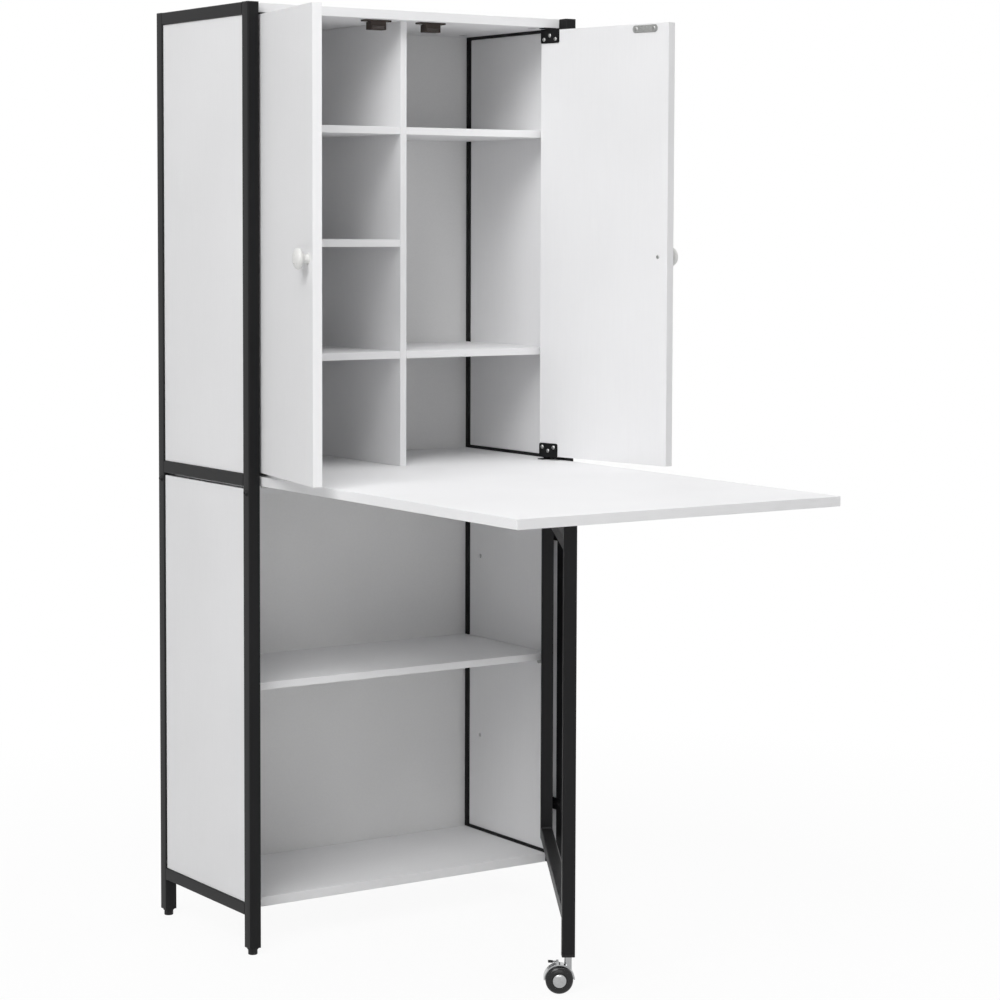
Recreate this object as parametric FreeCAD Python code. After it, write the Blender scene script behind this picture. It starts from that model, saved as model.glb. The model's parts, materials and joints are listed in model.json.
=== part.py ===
import FreeCAD, Part
import math
import os

# Sewing armoire: steel side frames, white boards, two doors, a drop leaf and a gate leg on a caster.
# Millimetres. X to the right, Y to the back, Z up. Inside this file Y is measured from the front
# of the posts; every piece is moved at the end so that the footprint is centred on the origin.

# Overall sizes
cabinet_width = 624.0
cabinet_depth = 312.0
cabinet_height = 1500.0
table_height = 760.0
leaf_reach = 707.0

# Stock
tube = 20.0
tube_wall = 1.5
tube_corner = 2.0
board = 15.0
shelf_board = 12.0
back_board = 5.0
sheet = 1.5

# Clearances
slide_fit = 0.2
running_fit = 0.05
loose_fit = 0.3
hole_fit = 0.1

# Heights of the frame
foot_height = 11.0
glide_radius = 7.5
glide_collar_radius = 9.0
glide_collar_height = 2.5
bottom_rail_z = 62.0
cap_height = 2.0
plug_length = 14.0
joiner_length = 100.0
bolt_below_seam = 10.0
bolt_radius = 3.0
bolt_head_radius = 5.5
bolt_head_height = 3.0
bolt_length = 12.0
panel_top_gap = 4.0

# Boards
back_recess = 4.0
shelf_setback = 50.0
divider_setback = 45.0
low_bay_extra = 6.0
leaf_seam = 1.0
leaf_seam_y = 18.0
leaf_side_gap = 4.0
rear_rail_drop = 45.0
lower_shelf_z = 413.0
lower_shelf_gap = 0.5
pin_pitch = 160.5
pin_front_y = 66.0
pin_from_back = 33.0
pin_radius = 3.5
pin_depth = 9.0
pin_head_radius = 4.2
pin_head_length = 8.0
dowel_radius = 3.0
dowel_in_panel = 5.0
dowel_in_shelf = 17.0
dowel_front_y = 95.0
dowel_from_back = 47.0

# Cam fittings
cam_radius = 7.5
cam_depth = 12.0
cam_from_end = 34.0
cam_from_front = 32.0
cam_from_back = 40.0
cam_bolt_radius = 3.0
cam_bolt_reach = 4.0
cam_slot_length = 9.0
cam_slot_width = 1.6

# Doors
door_angle = 101.0
door_side_gap = 6.0
door_centre_gap = 1.5
door_top_gap = 4.0
door_bottom_gap = 6.0
door_face_y = 20.5
pivot_inset = 10.0
pivot_radius = 2.5
pivot_depth = 13.0
hinge_plate_length = 42.0
hinge_plate_height = 22.0
hinge_plate_corner = 3.0
pivot_plate_length = 24.0
pivot_collar_radius = 6.0
knob_z = 1105.0
knob_from_edge = 20.5
knob_radius = 16.0
knob_reach = 23.0
knob_neck = 7.2
knob_neck_length = 11.4
knob_under = 4.0
knob_crown_radius = 12.8
knob_crown_height = 20.2
knob_flat = 4.8
knob_screw_radius = 2.0
knob_screw_head = 4.0
knob_screw_head_height = 2.2
knob_screw_depth = 10.0
catch_x = 52.0
strike_length = 54.0
strike_height = 12.0
strike_below_top = 8.0
strike_sheet = 1.2
strike_end_flat = 0.2
catch_flange_width = 49.0
catch_flange = 3.0
catch_body_width = 29.0
catch_body_height = 13.0
catch_length = 16.5
catch_slot_width = 23.0
catch_slot_height = 5.0
catch_slot_depth = 13.0
catch_recess_depth = 1.5
catch_recess_height = 2.0

# Leaf hinges
leaf_hinge_x = (-255.0, 255.0)
leaf_hinge_length = 50.0
leaf_hinge_plate = 1.2
leaf_hinge_width = 28.0
leaf_hinge_middle = 16.0
leaf_barrel_radius = 2.0
leaf_pin_radius = 1.0
leaf_axis_drop = 2.5
leaf_pad_size = 40.0
leaf_pad_height = 5.0

# Gate leg
gate_angle = 58.5
gate_axis_gap = 8.5
gate_axis_y = 37.0
gate_post_offset = 16.0
gate_reach = 556.0
gate_low_z = 110.0
gate_top_drop = 55.0
gate_foot_z = 56.0
gate_hinge_low = 159.0
gate_hinge_height = 20.0
gate_barrel_radius = 5.5
gate_pin_radius = 3.0
gate_plate = 2.0
gate_plate_front = 3.0
gate_plate_back = 41.0
gate_web = 8.0

# Caster
wheel_radius = 21.0
wheel_width = 10.5
wheel_gap = 0.5
wheel_tread = 4.5
caster_trail = 13.5
yoke_web = 6.0
fender_gap = 1.0
fender_sheet = 1.5
fender_width = 16.0
axle_radius = 3.0
stem_radius = 4.0
stem_length = 32.0
neck_radius = 5.75
socket_height = 4.0
hub_radius = 10.2
hub_height = 2.0
hub_crown_radius = 7.6
hub_crown_height = 1.4
hub_flat = 3.0
lever_axis = (2.5, 26.0)
lever_length = 13.0
lever_rise = 0.8
lever_width = 6.0
lever_sheet = 1.4
lever_tip = 5.0
lever_tip_sheet = 2.0
lever_ear = 1.5
lever_pin_radius = 1.0
lever_barrel_radius = 1.9

# Derived positions
half_width = cabinet_width / 2
inner_x = half_width - tube
post_x = half_width - tube / 2
front_post_y = tube / 2
rear_post_y = cabinet_depth - tube / 2
rear_face_y = cabinet_depth - tube
panel_in = inner_x + (tube - board) / 2
panel_out = panel_in + board
seam_z = table_height - board
rail_mid_top = seam_z + tube
top_under = cabinet_height - board
back_y = cabinet_depth - back_recess - back_board
hollow = tube - 2 * tube_wall
door_low = table_height + door_bottom_gap
door_high = top_under - door_top_gap
door_back_y = door_face_y + board
hinge_edge = inner_x - door_side_gap
pivot_x = hinge_edge - pivot_inset
pivot_y = door_face_y + board / 2
gate_axis_x = inner_x - gate_axis_gap
gate_inner_x = gate_axis_x - gate_post_offset
gate_outer_x = gate_axis_x - gate_reach
gate_high_z = seam_z - gate_top_drop
gate_top_z = seam_z - leaf_pad_height - loose_fit
gate_turn = math.radians(gate_angle)
gate_rest_x = gate_axis_x - gate_reach * math.cos(gate_turn)
gate_rest_y = gate_axis_y - gate_reach * math.sin(gate_turn)
leaf_axis_z = seam_z - leaf_axis_drop
pin_rows = (pin_front_y, rear_face_y - pin_from_back)
dowel_rows = (dowel_front_y, rear_face_y - dowel_from_back)
footprint_shift = (leaf_reach - cabinet_depth) / 2
shelf_pitch = (top_under - table_height - low_bay_extra - 3 * shelf_board) / 4 + shelf_board
shelf_levels = [top_under - shelf_pitch * n for n in (3, 2, 1)]

X_AXIS = FreeCAD.Vector(1, 0, 0)
Y_AXIS = FreeCAD.Vector(0, 1, 0)
Z_AXIS = FreeCAD.Vector(0, 0, 1)
ZERO = FreeCAD.Vector(0, 0, 0)
BOLT_SIDES = 8
PIN_SIDES = 12
HEAD_SIDES = 16
CAM_SIDES = 12
GLIDE_SIDES = 16
TURNED_SIDES = 28
ARC_STEPS = 3

# The middle of a quarter round, as a share of its radius, measured in from each side of the corner
ROUND_MIDDLE = 1 - math.sqrt(0.5)

os.makedirs("parts", exist_ok=True)


def block(x0, x1, y0, y1, z0, z1):
    corner = FreeCAD.Vector(min(x0, x1), y0, z0)
    return Part.makeBox(abs(x1 - x0), y1 - y0, z1 - z0, corner)


def rod(radius, length, point, axis):
    return Part.makeCylinder(radius, length, FreeCAD.Vector(*point), axis)


def mirrored(shape):
    return shape.mirror(ZERO, X_AXIS)


def rounded_bar(size_x, size_y, radius, length):
    bar = Part.makeBox(size_x, size_y, length, FreeCAD.Vector(-size_x / 2, -size_y / 2, 0))
    upright = [e for e in bar.Edges if abs(e.tangentAt(e.FirstParameter).z) > 0.9]
    return bar.makeFillet(radius, upright)


def square_tube(length):
    outer = rounded_bar(tube, tube, tube_corner, length)
    return outer.cut(Part.makeBox(hollow, hollow, length, FreeCAD.Vector(-hollow / 2, -hollow / 2, 0)))


def upright_tube(x, y, z0, z1):
    shape = square_tube(z1 - z0)
    shape.translate(FreeCAD.Vector(x, y, z0))
    return shape


def rail_along_y(x, z, y0, y1):
    shape = square_tube(y1 - y0)
    shape.rotate(ZERO, X_AXIS, -90)
    shape.translate(FreeCAD.Vector(x, y0, z))
    return shape


def rail_along_x(y, z, x0, x1):
    shape = square_tube(x1 - x0)
    shape.rotate(ZERO, Y_AXIS, 90)
    shape.translate(FreeCAD.Vector(x0, y, z))
    return shape


def plug(flange_height):
    flange = rounded_bar(tube, tube, tube_corner, flange_height)
    side = hollow - 2 * slide_fit
    insert = Part.makeBox(side, side, plug_length, FreeCAD.Vector(-side / 2, -side / 2, -plug_length))
    return flange.fuse(insert).removeSplitter()


def placed(shape, point, axis):
    shape.Placement = FreeCAD.Placement(FreeCAD.Vector(*point), FreeCAD.Rotation(Z_AXIS, axis))
    return shape


def prism(sides, radius, length, point, axis):
    # Small fittings are many-sided bars, which keeps the model light.
    turns = [2 * math.pi * n / sides for n in range(sides)]
    ring = [FreeCAD.Vector(radius * math.cos(a), radius * math.sin(a), 0) for a in turns]
    bar = Part.Face(Part.makePolygon(ring + ring[:1])).extrude(FreeCAD.Vector(0, 0, length))
    return placed(bar, point, axis)


def outline(profile):
    # Each step of a profile is a point (radius, height), or the middle and the end point of an arc.
    points = [profile[0]]
    for step in profile[1:]:
        if isinstance(step[0], tuple):
            bend = [FreeCAD.Vector(r, 0, h) for r, h in (points[-1],) + step]
            arc = Part.Arc(*bend).toShape()
            points += [(p.x, p.z) for p in arc.discretize(ARC_STEPS + 1)[1:]]
        else:
            points.append(step)
    return points


def turned(profile, point, axis):
    # A turned piece has many flat sides, which keeps the model light.
    turns = [2 * math.pi * n / TURNED_SIDES for n in range(TURNED_SIDES)]
    rings = []
    for r, h in outline(profile):
        ring = [FreeCAD.Vector(r * math.cos(a), r * math.sin(a), h) for a in turns]
        rings.append(ring + ring[:1])
    faces = [Part.Face(Part.makePolygon(ring)) for ring in (rings[0], rings[-1])]
    for low, high in zip(rings, rings[1:]):
        for n in range(TURNED_SIDES):
            corners = [low[n], low[n + 1], high[n + 1], high[n], low[n]]
            faces.append(Part.Face(Part.makePolygon(corners)))
    solid = Part.makeSolid(Part.makeShell(faces))
    if solid.Volume < 0:
        solid.reverse()
    return placed(solid, point, axis)


def save(name, *shapes):
    group = shapes[0] if len(shapes) == 1 else Part.makeCompound(list(shapes))
    moved = group.copy()
    moved.translate(FreeCAD.Vector(0, footprint_shift, 0))
    moved.exportStep("parts/" + name + ".step")


# Cam fittings: one lock and one bolt at each end of each board, on two rows
cam_boards = (
    (top_under, tube),
    (seam_z, leaf_seam_y + leaf_seam / 2),
    (bottom_rail_z, shelf_setback),
)
cam_x = inner_x - cam_from_end
cam_places = []
for under_z, front_y in cam_boards:
    for y in (front_y + cam_from_front, back_y - cam_from_back):
        cam_places.append((under_z, y))


def cam_lock(under_z, y):
    body = prism(CAM_SIDES, cam_radius - hole_fit, cam_depth, (cam_x, y, under_z), Z_AXIS)
    mouth = prism(BOLT_SIDES, cam_bolt_radius + loose_fit, cam_radius,
                  (cam_x, y, under_z + board / 2), X_AXIS)
    slot = block(cam_x - cam_slot_length / 2, cam_x + cam_slot_length / 2, y - cam_slot_width / 2,
                 y + cam_slot_width / 2, under_z, under_z + cam_slot_width)
    return body.cut(mouth).cut(slot)


def cam_bolt(under_z, y):
    start = cam_x + loose_fit
    length = inner_x + cam_bolt_reach - start
    return prism(BOLT_SIDES, cam_bolt_radius, length, (start, y, under_z + board / 2), X_AXIS)


def cam_cuts(under_z, y):
    pocket = prism(CAM_SIDES, cam_radius, cam_depth, (cam_x, y, under_z), Z_AXIS)
    bore = prism(BOLT_SIDES, cam_bolt_radius + hole_fit, cam_from_end,
                 (cam_x, y, under_z + board / 2), X_AXIS)
    return pocket.fuse(bore)


def drilled_for_cams(shape, under_z):
    for z, y in cam_places:
        if z == under_z:
            cut = cam_cuts(z, y)
            shape = shape.cut(cut).cut(mirrored(cut))
    return shape


def rail_for_cams(shape, under_z):
    for z, y in cam_places:
        if z == under_z:
            hole = prism(BOLT_SIDES, cam_bolt_radius + hole_fit, 2 * tube_wall,
                         (inner_x - tube_wall, y, z + board / 2), X_AXIS)
            shape = shape.cut(hole)
    return shape


# Side frames, made for the right side and mirrored
post_ys = (front_post_y, rear_post_y)
upper_posts = [upright_tube(post_x, y, seam_z, cabinet_height - cap_height) for y in post_ys]
top_rail = rail_along_y(post_x, cabinet_height - tube / 2, tube, rear_face_y)
middle_rail = rail_along_y(post_x, seam_z + tube / 2, tube, rear_face_y)
bottom_rail = rail_along_y(post_x, bottom_rail_z + tube / 2, tube, rear_face_y)
top_rail = rail_for_cams(top_rail, top_under)
middle_rail = rail_for_cams(middle_rail, seam_z)
bottom_rail = rail_for_cams(bottom_rail, bottom_rail_z)
bolt_z = seam_z - bolt_below_seam
legs = []
joiners = []
bolts = []
caps = []
glides = []
for y in post_ys:
    bolt_tip = half_width - bolt_length
    bolt_hole = prism(BOLT_SIDES, bolt_radius + hole_fit, bolt_length, (bolt_tip, y, bolt_z), X_AXIS)
    legs.append(upright_tube(post_x, y, foot_height, seam_z).cut(bolt_hole))
    side = hollow / 2 - slide_fit
    low = seam_z - joiner_length / 2
    joiner = block(post_x - side, post_x + side, y - side, y + side, low, low + joiner_length)
    joiners.append(joiner.cut(bolt_hole))
    shank = prism(BOLT_SIDES, bolt_radius, bolt_length, (bolt_tip, y, bolt_z), X_AXIS)
    head = prism(HEAD_SIDES, bolt_head_radius, bolt_head_height, (half_width, y, bolt_z), X_AXIS)
    bolts.append(shank.fuse(head))
    cap = plug(cap_height)
    cap.translate(FreeCAD.Vector(post_x, y, cabinet_height - cap_height))
    caps.append(cap)
    stub = block(post_x - side, post_x + side, y - side, y + side, foot_height, foot_height + plug_length)
    pad = prism(GLIDE_SIDES, glide_radius, foot_height, (post_x, y, 0), Z_AXIS)
    collar_z = foot_height - glide_collar_height
    collar = prism(GLIDE_SIDES, glide_collar_radius, glide_collar_height, (post_x, y, collar_z), Z_AXIS)
    glides.append(pad.fuse(collar).fuse(stub))

right_upper = upper_posts + [top_rail, middle_rail]
right_lower = legs + [bottom_rail]
save("right_upper_frame", *right_upper)
save("left_upper_frame", *[mirrored(s) for s in right_upper])
save("right_lower_frame", *right_lower)
save("left_lower_frame", *[mirrored(s) for s in right_lower])
for name, items in (("frame_joiners", joiners), ("joiner_bolts", bolts),
                    ("post_caps", caps), ("foot_glides", glides)):
    save(name, *(items + [mirrored(s) for s in items]))

# Dowels that hold the shelves between the divider and the side panels
shelf_plan = (
    ("right_shelf_low", 1, shelf_levels[0]),
    ("right_shelf_high", 1, shelf_levels[2]),
    ("left_shelf_low", -1, shelf_levels[0]),
    ("left_shelf_mid", -1, shelf_levels[1]),
    ("left_shelf_high", -1, shelf_levels[2]),
)
dowels = []
dowel_holes = []
for name, side, z in shelf_plan:
    for y in dowel_rows:
        for start in (shelf_board / 2 - dowel_in_panel, panel_in - dowel_in_shelf):
            length = dowel_in_panel + dowel_in_shelf
            dowel = prism(BOLT_SIDES, dowel_radius, length, (start, y, z + shelf_board / 2), X_AXIS)
            hole = prism(BOLT_SIDES, dowel_radius + hole_fit, length + 2 * hole_fit,
                         (start - hole_fit, y, z + shelf_board / 2), X_AXIS)
            dowels.append(dowel if side > 0 else mirrored(dowel))
            dowel_holes.append(hole if side > 0 else mirrored(hole))
all_dowel_holes = Part.makeCompound(dowel_holes)
save("shelf_dowels", *dowels)
notch = block(inner_x, half_width, rear_face_y, cabinet_depth, 0, cabinet_height)
for name, side, z in shelf_plan:
    shelf = block(shelf_board / 2, panel_in, divider_setback, back_y, z, z + shelf_board).cut(notch)
    shelf = shelf if side > 0 else mirrored(shelf)
    save(name, shelf.cut(all_dowel_holes))
half_divider = shelf_board / 2
divider = block(-half_divider, half_divider, divider_setback, back_y, table_height, top_under)
save("divider", divider.cut(all_dowel_holes))

# Side panels, with blind holes for the shelf pins
pin_z = lower_shelf_z - pin_head_radius
pins = []
pin_holes = []
for y in pin_rows:
    pin = prism(PIN_SIDES, pin_radius, pin_depth, (panel_in, y, pin_z), X_AXIS)
    head = prism(PIN_SIDES, pin_head_radius, pin_head_length,
                 (panel_in - pin_head_length, y, pin_z), X_AXIS)
    pins.append(pin.fuse(head))
    for z in (pin_z - pin_pitch, pin_z, pin_z + pin_pitch):
        pin_holes.append(prism(PIN_SIDES, pin_radius + hole_fit, pin_depth + hole_fit,
                               (panel_in, y, z), X_AXIS))
save("shelf_pins", *(pins + [mirrored(p) for p in pins]))
upper_panel = block(panel_in, panel_out, tube, rear_face_y, rail_mid_top, cabinet_height - tube)
lower_panel = block(panel_in, panel_out, tube, rear_face_y, bottom_rail_z + tube, seam_z - panel_top_gap)
lower_panel = lower_panel.cut(Part.makeCompound(pin_holes))
save("right_upper_panel", upper_panel.cut(all_dowel_holes))
save("left_upper_panel", mirrored(upper_panel).cut(all_dowel_holes))
save("right_lower_panel", lower_panel)
save("left_lower_panel", mirrored(lower_panel))

# Horizontal boards and backs
top_panel = block(-inner_x, inner_x, tube, back_y, top_under, cabinet_height)
save("top_panel", drilled_for_cams(top_panel, top_under))
table_front = leaf_seam_y + leaf_seam / 2
table_panel = block(-inner_x, inner_x, table_front, back_y, seam_z, table_height)
save("table_panel", drilled_for_cams(table_panel, seam_z))
bottom_panel = block(-inner_x, inner_x, shelf_setback, back_y, bottom_rail_z, bottom_rail_z + board)
save("bottom_panel", drilled_for_cams(bottom_panel, bottom_rail_z))
back_seam = seam_z + board / 2
for name, low, high in (("upper_back_panel", back_seam, cabinet_height - cap_height),
                        ("lower_back_panel", bottom_rail_z, back_seam)):
    save(name, block(-inner_x, inner_x, back_y, back_y + back_board, low, high))
save("rear_rail", block(-inner_x, inner_x, back_y - board, back_y, seam_z - rear_rail_drop, seam_z))
shelf_end = panel_in - lower_shelf_gap
lower_shelf_top = lower_shelf_z + shelf_board
lower_shelf = block(-shelf_end, shelf_end, shelf_setback, back_y, lower_shelf_z, lower_shelf_top)
shelf_notch = block(inner_x - lower_shelf_gap, half_width, rear_face_y - lower_shelf_gap, cabinet_depth,
                    0, cabinet_height)
save("lower_shelf", lower_shelf.cut(shelf_notch).cut(mirrored(shelf_notch)))
locks = [cam_lock(z, y) for z, y in cam_places]
cam_bolts = [cam_bolt(z, y) for z, y in cam_places]
save("cam_locks", *(locks + [mirrored(s) for s in locks]))
save("cam_bolts", *(cam_bolts + [mirrored(s) for s in cam_bolts]))

# Doors, made closed for the right side, then opened and mirrored
free_edge = door_centre_gap
knob_x = free_edge + knob_from_edge
door = block(free_edge, hinge_edge, door_face_y, door_back_y, door_low, door_high)
pivot_bore = pivot_radius + loose_fit
door = door.cut(rod(pivot_bore, pivot_depth, (pivot_x, pivot_y, door_low), Z_AXIS))
door = door.cut(rod(pivot_bore, pivot_depth, (pivot_x, pivot_y, door_high - pivot_depth), Z_AXIS))
knob_hole = prism(BOLT_SIDES, knob_screw_radius + loose_fit, board, (knob_x, door_face_y, knob_z), Y_AXIS)
door = door.cut(knob_hole)
plate_in = hinge_edge - hinge_plate_length


def door_plate(edge_z, outward):
    flange = block(plate_in, hinge_edge, door_face_y, door_back_y + sheet,
                   min(edge_z, edge_z + outward * sheet), max(edge_z, edge_z + outward * sheet))
    far_z = edge_z - outward * hinge_plate_height
    near_z = edge_z + outward * sheet
    face = block(plate_in, hinge_edge, door_back_y, door_back_y + sheet,
                 min(far_z, near_z), max(far_z, near_z))
    face = face.makeFillet(hinge_plate_corner, [e for e in face.Edges if e.BoundBox.ZLength < hole_fit
                                                and abs(e.BoundBox.ZMin - far_z) < hole_fit
                                                and e.BoundBox.XLength < hole_fit])
    hole = rod(pivot_radius + running_fit, 4 * sheet, (pivot_x, pivot_y, edge_z - 2 * sheet), Z_AXIS)
    return flange.fuse(face).removeSplitter().cut(hole)


door_plates = [door_plate(door_high, 1), door_plate(door_low, -1)]
shoulder = knob_neck_length + knob_under
round_in = ROUND_MIDDLE * knob_under
knob_profile = [
    (knob_neck, 0),
    (knob_neck, knob_neck_length),
    (knob_radius - knob_under, knob_neck_length),
    ((knob_radius - round_in, knob_neck_length + round_in), (knob_radius, shoulder)),
    ((knob_crown_radius, knob_crown_height), (knob_flat, knob_reach)),
]
knob = turned(knob_profile, (knob_x, door_face_y, knob_z), FreeCAD.Vector(0, -1, 0))
screw_tip = door_face_y - knob_screw_depth
knob = knob.cut(prism(BOLT_SIDES, knob_screw_radius + hole_fit, knob_screw_depth + hole_fit,
                      (knob_x, screw_tip - hole_fit, knob_z), Y_AXIS))
knob_screw = prism(BOLT_SIDES, knob_screw_radius, board + knob_screw_depth,
                   (knob_x, screw_tip, knob_z), Y_AXIS)
screw_head = prism(HEAD_SIDES, knob_screw_head, knob_screw_head_height,
                   (knob_x, door_back_y, knob_z), Y_AXIS)
knob_screw = knob_screw.fuse(screw_head)
strike = rounded_bar(strike_length, strike_height, (strike_height - strike_end_flat) / 2, strike_sheet)
strike.rotate(ZERO, X_AXIS, -90)
strike_z = door_high - strike_below_top
strike.translate(FreeCAD.Vector(catch_x, door_back_y, strike_z))


def opened(shape):
    copy = shape.copy()
    copy.rotate(FreeCAD.Vector(pivot_x, pivot_y, 0), Z_AXIS, door_angle)
    return copy


for name, items in (("door", [door]), ("door_plates", door_plates), ("knob", [knob]),
                    ("knob_screw", [knob_screw]), ("strike", [strike])):
    right_items = [opened(s) for s in items]
    save("right_" + name, *right_items)
    save("left_" + name, *[mirrored(s) for s in right_items])

# Pivot plates that carry the doors
plate_back_y = door_back_y
pivot_plate_in = hinge_edge - pivot_plate_length
upper_plate = block(pivot_plate_in, hinge_edge, door_face_y, plate_back_y, top_under - sheet, top_under)
upper_pin_z = door_high - pivot_depth + loose_fit
upper_pin = rod(pivot_radius, top_under - upper_pin_z, (pivot_x, pivot_y, upper_pin_z), Z_AXIS)
upper_plate = upper_plate.fuse(upper_pin)
lower_plate = block(pivot_plate_in, hinge_edge, door_face_y, plate_back_y, table_height, table_height + sheet)
collar_height = door_bottom_gap - sheet - hole_fit
collar = prism(HEAD_SIDES, pivot_collar_radius, collar_height, (pivot_x, pivot_y, table_height), Z_AXIS)
lower_pin_length = door_low + pivot_depth - loose_fit - table_height
lower_pin = rod(pivot_radius, lower_pin_length, (pivot_x, pivot_y, table_height), Z_AXIS)
lower_plate = lower_plate.fuse(collar).fuse(lower_pin)
plates = [upper_plate.removeSplitter(), lower_plate.removeSplitter()]
save("pivot_plates", *(plates + [mirrored(s) for s in plates]))

# Magnetic catches
catch_front = door_back_y + strike_sheet + 2 * loose_fit
half_flange = catch_flange_width / 2
half_body = catch_body_width / 2
half_slot = catch_slot_width / 2
flange_z = top_under - catch_flange
housing = block(catch_x - half_flange, catch_x + half_flange, catch_front, catch_front + catch_length,
                flange_z, top_under)
catch_body = block(catch_x - half_body, catch_x + half_body, catch_front, catch_front + catch_length,
                   flange_z - catch_body_height, flange_z)
housing = housing.fuse(catch_body).removeSplitter()
slot_low = strike_z - catch_slot_height / 2
slot = block(catch_x - half_slot, catch_x + half_slot, catch_front, catch_front + catch_slot_depth,
             slot_low, slot_low + catch_slot_height)
half_magnet = half_slot - slide_fit
magnet = block(catch_x - half_magnet, catch_x + half_magnet, catch_front - loose_fit,
               catch_front + catch_slot_depth,
               slot_low + slide_fit, slot_low + catch_slot_height - slide_fit)
half_recess = catch_recess_height / 2
recess = block(catch_x - half_slot, catch_x + half_slot, catch_front - tube,
               catch_front + catch_recess_depth, strike_z - half_recess, strike_z + half_recess)
magnet = magnet.cut(recess)
housing = housing.cut(slot)
save("catch_housings", housing, mirrored(housing))
save("catch_magnets", magnet, mirrored(magnet))

# Drop leaf and its butt hinges
leaf_x = inner_x - leaf_side_gap
leaf_back = leaf_seam_y - leaf_seam / 2
save("drop_leaf", block(-leaf_x, leaf_x, -leaf_reach, leaf_back, seam_z, table_height))
save("leaf_pad", block(gate_rest_x - leaf_pad_size / 2, gate_rest_x + leaf_pad_size / 2,
                       gate_rest_y - leaf_pad_size / 2, gate_rest_y + leaf_pad_size / 2,
                       seam_z - leaf_pad_height, seam_z))
fixed_hinges = []
moving_hinges = []
plate_z = seam_z - leaf_hinge_plate
knuckle_clear = leaf_barrel_radius + loose_fit
leaf_bore_radius = (leaf_pin_radius + running_fit) / math.cos(math.pi / BOLT_SIDES)
for x in leaf_hinge_x:
    x0 = x - leaf_hinge_length / 2
    x1 = x + leaf_hinge_length / 2
    m0 = x - leaf_hinge_middle / 2
    m1 = x + leaf_hinge_middle / 2
    axis_point = (x0, leaf_seam_y, leaf_axis_z)
    barrel = prism(PIN_SIDES, leaf_barrel_radius, x1 - x0, axis_point, X_AXIS)
    bore = prism(BOLT_SIDES, leaf_bore_radius, x1 - x0, axis_point, X_AXIS)
    middle = block(m0, m1, leaf_seam_y - tube, leaf_seam_y + tube, leaf_axis_z - tube, seam_z)
    wide_middle = block(m0 - loose_fit, m1 + loose_fit, leaf_seam_y - tube, leaf_seam_y + knuckle_clear,
                        leaf_axis_z - tube, seam_z)
    fixed = block(x0, x1, leaf_seam_y + hole_fit, leaf_seam_y + leaf_hinge_width, plate_z, seam_z)
    fixed = fixed.fuse(barrel).cut(wide_middle).cut(bore).removeSplitter()
    ends = block(x0, m0, leaf_seam_y - knuckle_clear, leaf_seam_y + tube, leaf_axis_z - tube, seam_z)
    ends = ends.fuse(block(m1, x1, leaf_seam_y - knuckle_clear, leaf_seam_y + tube,
                           leaf_axis_z - tube, seam_z))
    moving = block(x0, x1, leaf_seam_y - leaf_hinge_width, leaf_seam_y - hole_fit, plate_z, seam_z)
    moving = moving.cut(ends).fuse(barrel.common(middle)).cut(bore).removeSplitter()
    fixed_hinges.append(fixed)
    fixed_hinges.append(rod(leaf_pin_radius, x1 - x0, axis_point, X_AXIS))
    moving_hinges.append(moving)
save("leaf_hinge_fixed", *fixed_hinges)
save("leaf_hinge_moving", *moving_hinges)


# Gate leg, made folded against the front and then swung out
def swung(shape):
    copy = shape.copy()
    copy.rotate(FreeCAD.Vector(gate_axis_x, gate_axis_y, 0), Z_AXIS, gate_angle)
    return copy


def save_gate(name, *shapes):
    save(name, *[swung(s) for s in shapes])


outer_low = gate_foot_z + socket_height
outer_high = gate_top_z - cap_height
rail_in = gate_outer_x + tube / 2
rail_out = gate_inner_x - tube / 2
inner_low = gate_low_z + cap_height
inner_high = gate_high_z - cap_height
save_gate("gate_inner_post", upright_tube(gate_inner_x, gate_axis_y, inner_low, inner_high))
save_gate("gate_outer_post", upright_tube(gate_outer_x, gate_axis_y, outer_low, outer_high))
save_gate("gate_top_rail", rail_along_x(gate_axis_y, gate_high_z - tube / 2, rail_in, rail_out))
save_gate("gate_bottom_rail", rail_along_x(gate_axis_y, gate_low_z + tube / 2, rail_in, rail_out))
post_plugs = []
for x, z, up in ((gate_inner_x, inner_high, True), (gate_inner_x, inner_low, False),
                 (gate_outer_x, outer_high, True)):
    cap = plug(cap_height)
    if not up:
        cap.rotate(ZERO, X_AXIS, 180)
    cap.translate(FreeCAD.Vector(x, gate_axis_y, z))
    post_plugs.append(cap)
socket = plug(socket_height)
socket.rotate(ZERO, X_AXIS, 180)
half_sleeve = hollow / 2 - slide_fit
sleeve = block(-half_sleeve, half_sleeve, -half_sleeve, half_sleeve, 0, stem_length)
socket = socket.fuse(sleeve).removeSplitter()
socket.translate(FreeCAD.Vector(gate_outer_x, gate_axis_y, outer_low))
stem_top = gate_foot_z + stem_length
stem_bore = rod(stem_radius + running_fit, stem_length + loose_fit,
                (gate_outer_x, gate_axis_y, gate_foot_z), Z_AXIS)
socket = socket.cut(stem_bore)
save_gate("gate_post_plugs", *post_plugs, socket)

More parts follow.
